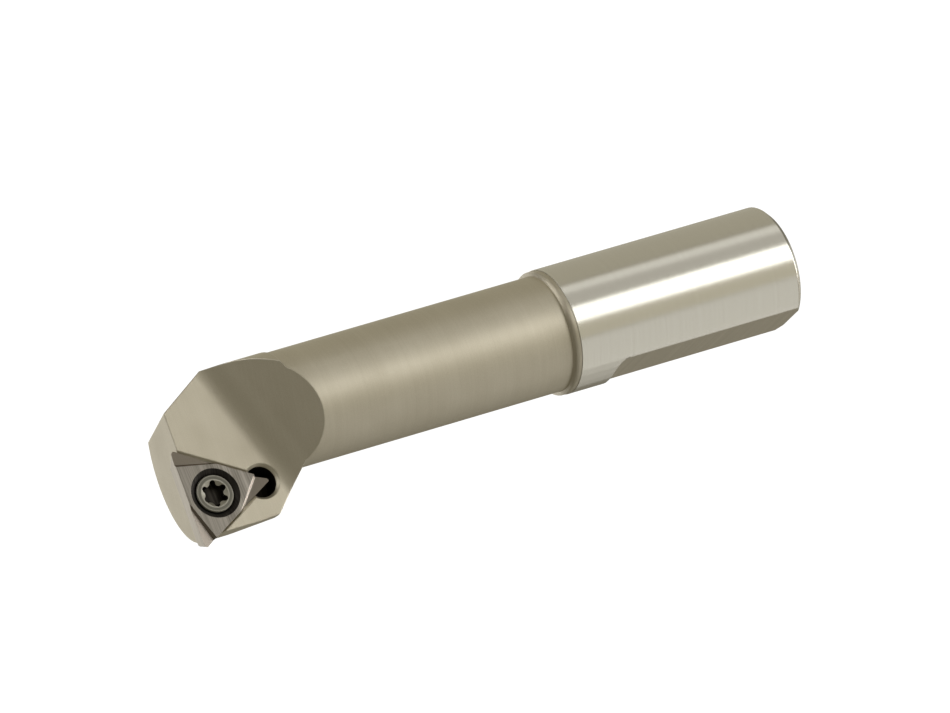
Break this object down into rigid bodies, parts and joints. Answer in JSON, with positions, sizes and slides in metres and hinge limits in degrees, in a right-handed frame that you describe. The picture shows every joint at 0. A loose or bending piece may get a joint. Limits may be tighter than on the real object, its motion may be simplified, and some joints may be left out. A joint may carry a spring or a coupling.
{
  "type": "indexable boring bar",
  "caption": "Round-shank boring bar with a clamping flat, a slimmer neck and an eccentric head that carries a screwed-on triangular carbide insert.",
  "frame": {"origin": "centre of the shank's rear end face, on the shank axis", "axes": "+Z along the shank axis from the rear end to the cutting head, +X towards the cutting tip and square to the clamping flat, +Y out of the rake face; the bar stands on its rear end"},
  "size_m": [0.0272, 0.0239, 0.1083],
  "materials": {
    "bar_steel": "ground bright shank, fine-blasted neck and head",
    "carbide": "ground sintered carbide with fine parallel grinding lines",
    "screw_steel": "turned alloy steel, lightly darkened"
  },
  "bodies": {
    "root": {"boring_bar": "bar_steel", "cutting_insert": "carbide", "insert_screw": "screw_steel"}
  },
  "joints": []
}
